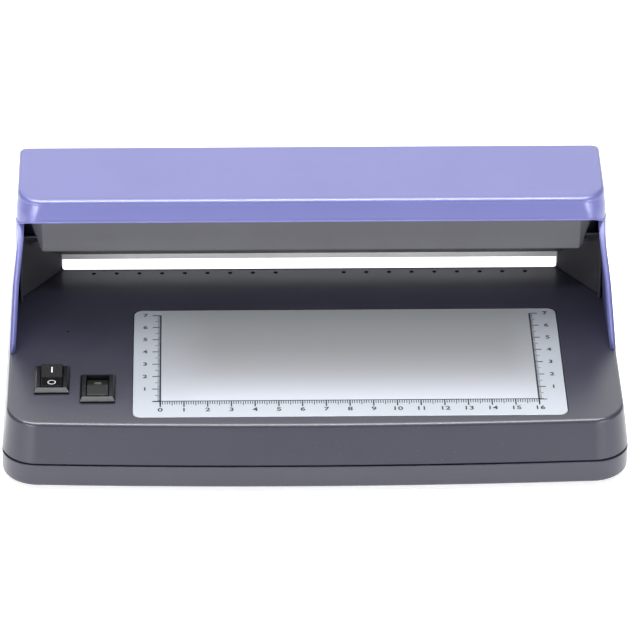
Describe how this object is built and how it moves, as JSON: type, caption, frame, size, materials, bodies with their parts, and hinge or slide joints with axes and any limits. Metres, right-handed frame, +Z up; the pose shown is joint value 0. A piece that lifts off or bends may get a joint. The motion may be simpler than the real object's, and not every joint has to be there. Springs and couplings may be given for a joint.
{
  "type": "counterfeit bill detector",
  "caption": "Desk banknote viewer: low base with a lit document window and printed scale, raised hood with lamp slot, two rocker switches.",
  "frame": {"origin": "centre of the unit's outline, at the level that the rubber feet stand on", "axes": "+X to the operator's right, +Y towards the back, +Z up; the open front faces -Y"},
  "size_m": [0.2646, 0.1572, 0.087],
  "materials": {
    "casing": "moulded dark blue-grey plastic, fine spark texture",
    "hood": "painted lavender blue, satin metallic",
    "horn": "moulded dark grey plastic",
    "opal_window": "opal acrylic with a printed centimetre scale",
    "white_plastic": "white moulded plastic",
    "led_board": "white solder mask",
    "diffuser": "opal plastic, lit from behind",
    "reflector": "folded bright sheet",
    "inlet": "black moulded plastic",
    "rubber": "black rubber",
    "screw_steel": "zinc-plated steel",
    "lamp_glass": "phosphor-coated glass tube",
    "lamp_cap": "aluminium tube cap",
    "lamp_holder": "white moulded plastic",
    "circuit_board": "green solder mask",
    "ferrite": "ferrite core and wound bobbin",
    "capacitor": "sleeved can",
    "brass": "tinned brass",
    "switch_black": "black moulded plastic",
    "lead_brown": "brown insulated lead",
    "lead_blue": "blue insulated lead",
    "lead_black": "black insulated lead",
    "lead_white": "white insulated lead",
    "smoke_rocker": "smoke-tinted translucent plastic"
  },
  "bodies": {
    "unit": {"ballast_board": "circuit_board", "ballast_capacitor_1": "capacitor", "ballast_capacitor_2": "capacitor", "ballast_choke": "ferrite", "ballast_lead": "lead_black", "ballast_transformer": "ferrite", "base_tray": "casing", "case_screw_1": "screw_steel", "case_screw_2": "screw_steel", "case_screw_3": "screw_steel", "case_screw_4": "screw_steel", "document_window": "opal_window", "hood_cover": "hood", "hood_screw_1": "screw_steel", "hood_screw_2": "screw_steel", "hood_screw_3": "screw_steel", "hood_screw_4": "screw_steel", "inlet_body": "inlet", "inlet_lead": "lead_brown", "inlet_pin_1": "brass", "inlet_pin_2": "brass", "lamp_horn": "horn", "lamp_lead_left": "lead_white", "lamp_lead_right": "lead_white", "lamp_reflector": "reflector", "led_board": "led_board", "led_driver_board": "circuit_board", "led_driver_transformer": "ferrite", "light_box": "white_plastic", "main_switch_housing": "switch_black", "main_switch_terminal_1": "brass", "main_switch_terminal_2": "brass", "neutral_lead": "lead_blue", "rubber_foot_1": "rubber", "rubber_foot_2": "rubber", "rubber_foot_3": "rubber", "rubber_foot_4": "rubber", "side_lamp_cap_left": "lamp_cap", "side_lamp_cap_right": "lamp_cap", "side_lamp_holder_left": "lamp_holder", "side_lamp_holder_right": "lamp_holder", "side_lamp_tube": "lamp_glass", "slot_diffuser": "diffuser", "top_lamp_cap_left": "lamp_cap", "top_lamp_cap_right": "lamp_cap", "top_lamp_holder_left": "lamp_holder", "top_lamp_holder_right": "lamp_holder", "top_lamp_tube": "lamp_glass", "top_shell": "casing", "window_lead": "lead_black", "window_switch_housing": "switch_black", "window_switch_terminal_1": "brass", "window_switch_terminal_2": "brass"},
    "main_rocker": {"main_switch_rocker": "switch_black"},
    "window_rocker": {"window_switch_rocker": "smoke_rocker"}
  },
  "joints": [
    {"name": "main_switch_tilt", "type": "hinge", "parent": "unit", "child": "main_rocker", "pos_m": [-0.1114, -0.0374, 0.03], "axis": [-1, 0, 0], "range_deg": [0, 18.4]},
    {"name": "window_switch_tilt", "type": "hinge", "parent": "unit", "child": "window_rocker", "pos_m": [-0.0919, -0.0447, 0.03], "axis": [1, 0, 0], "range_deg": [0, 12]}
  ]
}
